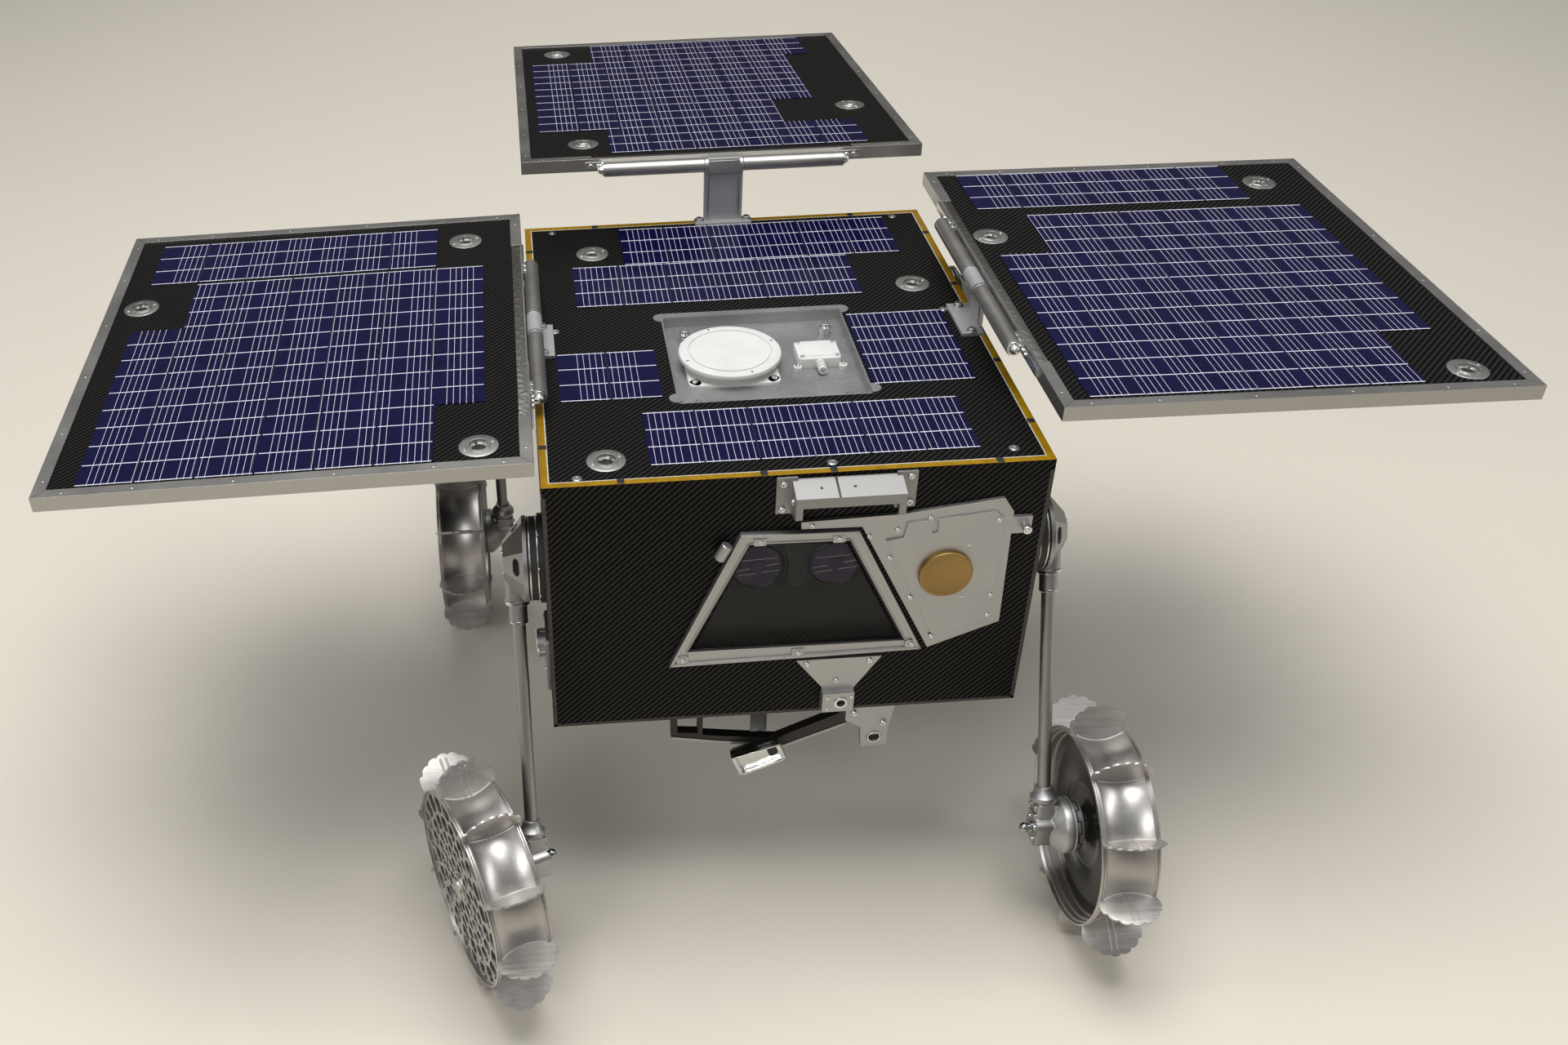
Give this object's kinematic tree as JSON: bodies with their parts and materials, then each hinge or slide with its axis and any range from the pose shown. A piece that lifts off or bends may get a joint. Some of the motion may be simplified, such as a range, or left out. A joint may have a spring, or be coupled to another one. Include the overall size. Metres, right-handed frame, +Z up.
{
  "type": "small four-wheeled planetary rover",
  "caption": "Carbon box rover on long swinging legs with petalled metal wheels and folding solar panels.",
  "frame": {"origin": "on the ground under the middle of the whole, panels open", "axes": "+Z up, front towards -Y, +X towards the rover's own left"},
  "size_m": [1.0261, 0.9826, 0.4682],
  "materials": {
    "carbon_laminate": "matte twill weave",
    "solar_cells": "glossy blue-black cells",
    "satin_aluminium": "satin machined",
    "polished_aluminium": "polished",
    "dark_housing": "black anodised",
    "dark_glass": "dark coated glass",
    "gold_plate": "gold plated",
    "grey_tray": "light grey satin paint",
    "white_radome": "white matte"
  },
  "bodies": {
    "rover_body": {"body_floor": "carbon_laminate", "body_lid": "carbon_laminate", "body_right_wall": "carbon_laminate", "body_left_wall": "carbon_laminate", "body_rear_wall": "carbon_laminate", "body_front_wall": "carbon_laminate", "electronics_block": "dark_housing", "window_frame": "satin_aluminium", "window_glass": "dark_glass", "camera_pair": "dark_housing", "sensor_cover": "satin_aluminium", "sensor_disc": "gold_plate", "hood_bracket": "satin_aluminium", "foot_bracket": "satin_aluminium", "belly_bar": "dark_housing", "belly_pad": "satin_aluminium", "belly_eye_bracket": "satin_aluminium", "side_connectors": "satin_aluminium", "lid_solar_cells": "solar_cells", "lid_cups": "polished_aluminium", "antenna_tray": "grey_tray", "round_antenna": "white_radome", "small_antenna": "white_radome", "right_hinge_base": "satin_aluminium", "left_hinge_base": "satin_aluminium", "back_hinge_base": "satin_aluminium", "shoulder_discs": "satin_aluminium"},
    "folding_right_panel": {"right_panel_frame": "satin_aluminium", "right_panel_plate": "carbon_laminate", "right_panel_cells": "solar_cells", "right_panel_cups": "polished_aluminium"},
    "folding_left_panel": {"left_panel_frame": "satin_aluminium", "left_panel_plate": "carbon_laminate", "left_panel_cells": "solar_cells", "left_panel_cups": "polished_aluminium"},
    "folding_back_panel": {"back_panel_frame": "satin_aluminium", "back_panel_plate": "carbon_laminate", "back_panel_cells": "solar_cells", "back_panel_cups": "polished_aluminium"},
    "front_right_leg": {"front_right_shoulder_cone": "satin_aluminium", "front_right_leg_tube": "polished_aluminium", "front_right_hub_drive": "satin_aluminium"},
    "front_right_wheel_unit": {"front_right_wheel": "polished_aluminium", "front_right_wheel_face": "polished_aluminium"},
    "front_left_leg": {"front_left_shoulder_cone": "satin_aluminium", "front_left_leg_tube": "polished_aluminium", "front_left_hub_drive": "satin_aluminium"},
    "front_left_wheel_unit": {"front_left_wheel": "polished_aluminium", "front_left_wheel_face": "polished_aluminium"},
    "rear_right_leg": {"rear_right_shoulder_cone": "satin_aluminium", "rear_right_leg_tube": "polished_aluminium", "rear_right_hub_drive": "satin_aluminium"},
    "rear_right_wheel_unit": {"rear_right_wheel": "polished_aluminium", "rear_right_wheel_face": "polished_aluminium"},
    "rear_left_leg": {"rear_left_shoulder_cone": "satin_aluminium", "rear_left_leg_tube": "polished_aluminium", "rear_left_hub_drive": "satin_aluminium"},
    "rear_left_wheel_unit": {"rear_left_wheel": "polished_aluminium", "rear_left_wheel_face": "polished_aluminium"}
  },
  "joints": [
    {"name": "right_panel_fold", "type": "hinge", "parent": "rover_body", "child": "folding_right_panel", "pos_m": [-0.174, -0.1272, 0.4218], "axis": [0, 1, 0], "range_deg": [0, 181]},
    {"name": "left_panel_fold", "type": "hinge", "parent": "rover_body", "child": "folding_left_panel", "pos_m": [0.17, -0.1272, 0.4413], "axis": [0, -1, 0], "range_deg": [0, 180.65]},
    {"name": "back_panel_fold", "type": "hinge", "parent": "rover_body", "child": "folding_back_panel", "pos_m": [0, 0.0793, 0.4608], "axis": [1, 0, 0], "range_deg": [0, 184.8]},
    {"name": "front_right_leg_swing", "type": "hinge", "parent": "rover_body", "child": "front_right_leg", "pos_m": [-0.1984, -0.2857, 0.3173], "axis": [-1, 0, 0], "range_deg": [-32.5, 67.5]},
    {"name": "front_right_wheel_spin", "type": "hinge", "parent": "front_right_leg", "child": "front_right_wheel_unit", "pos_m": [-0.1984, -0.37724, 0.0963], "axis": [-0.9298, -0.3681, 0], "continuous": true},
    {"name": "front_left_leg_swing", "type": "hinge", "parent": "rover_body", "child": "front_left_leg", "pos_m": [0.1984, -0.2857, 0.3173], "axis": [-1, 0, 0], "range_deg": [-32.5, 67.5]},
    {"name": "front_left_wheel_spin", "type": "hinge", "parent": "front_left_leg", "child": "front_left_wheel_unit", "pos_m": [0.1984, -0.37724, 0.0963], "axis": [1, 0, 0], "continuous": true},
    {"name": "rear_right_leg_swing", "type": "hinge", "parent": "rover_body", "child": "rear_right_leg", "pos_m": [-0.214, 0.0403, 0.33497], "axis": [1, 0, 0], "range_deg": [-13.84, 86.16]},
    {"name": "rear_right_wheel_spin", "type": "hinge", "parent": "rear_right_leg", "child": "rear_right_wheel_unit", "pos_m": [-0.214, 0.0563, 0.0963], "axis": [-1, 0, 0], "continuous": true},
    {"name": "rear_left_leg_swing", "type": "hinge", "parent": "rover_body", "child": "rear_left_leg", "pos_m": [0.214, 0.0403, 0.33497], "axis": [1, 0, 0], "range_deg": [-13.84, 86.16]},
    {"name": "rear_left_wheel_spin", "type": "hinge", "parent": "rear_left_leg", "child": "rear_left_wheel_unit", "pos_m": [0.214, 0.0563, 0.0963], "axis": [1, 0, 0], "continuous": true}
  ]
}
